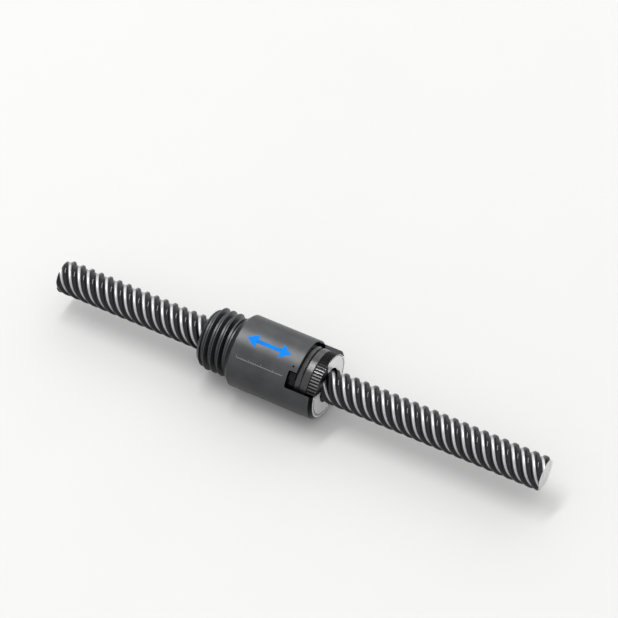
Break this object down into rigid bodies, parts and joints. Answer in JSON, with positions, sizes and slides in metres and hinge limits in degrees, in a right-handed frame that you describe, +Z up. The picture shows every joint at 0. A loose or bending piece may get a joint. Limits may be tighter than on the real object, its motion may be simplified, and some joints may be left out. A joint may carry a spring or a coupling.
{
  "type": "ball screw assembly",
  "caption": "High-lead ball screw: a rolled multi-start screw runs through a cylindrical nut with a threaded screw-in nose and a side window over a serrated lock ring.",
  "frame": {"origin": "on the screw axis, inside the nut, 19.5 mm behind its window end face", "axes": "+X along the screw towards the window end of the nut, +Z up with the middle of the nut's side window facing straight up, +Y across, to the left when looking along +X"},
  "size_m": [0.2, 0.028, 0.028],
  "materials": {
    "screw_steel": "glossy black oxide on rolled bearing steel, bare ground end faces",
    "nut_steel": "satin dark grey, fine turned",
    "bearing_steel": "hardened and ground",
    "ball_steel": "polished",
    "ring_steel": "bright machined",
    "deflector_polymer": "moulded dark grey",
    "wiper_polymer": "moulded black",
    "felt": "oiled felt"
  },
  "bodies": {
    "nut": {"nut_housing": "nut_steel", "raceway_sleeve": "bearing_steel", "rear_deflector": "deflector_polymer", "front_deflector": "deflector_polymer", "serrated_lock_ring": "ring_steel", "anti_rotation_key": "ring_steel", "dowel_pins": "bearing_steel", "front_wiper": "wiper_polymer", "rear_wiper": "wiper_polymer", "rear_clip": "ring_steel", "loaded_balls_1": "ball_steel", "return_balls_1": "ball_steel", "loaded_balls_2": "ball_steel", "return_balls_2": "ball_steel", "loaded_balls_3": "ball_steel", "return_balls_3": "ball_steel", "loaded_balls_4": "ball_steel", "return_balls_4": "ball_steel", "loaded_balls_5": "ball_steel", "return_balls_5": "ball_steel"},
    "felt_rings": {"front_felt": "felt", "rear_felt": "felt"},
    "screw": {"screw_shaft": "screw_steel"}
  },
  "joints": [
    {"name": "screw_spin", "type": "hinge", "parent": "nut", "child": "felt_rings", "pos_m": [0, 0, 0], "axis": [1, 0, 0], "range_deg": [-1512.5, 1044.5]},
    {"name": "screw_travel", "type": "slide", "parent": "felt_rings", "child": "screw", "axis": [1, 0, 0], "range_m": [-0.084, 0.058]}
  ],
  "couplings": [
    {"joint": "screw_spin", "follows": "screw_travel", "rad_per_m": 314.16}
  ]
}
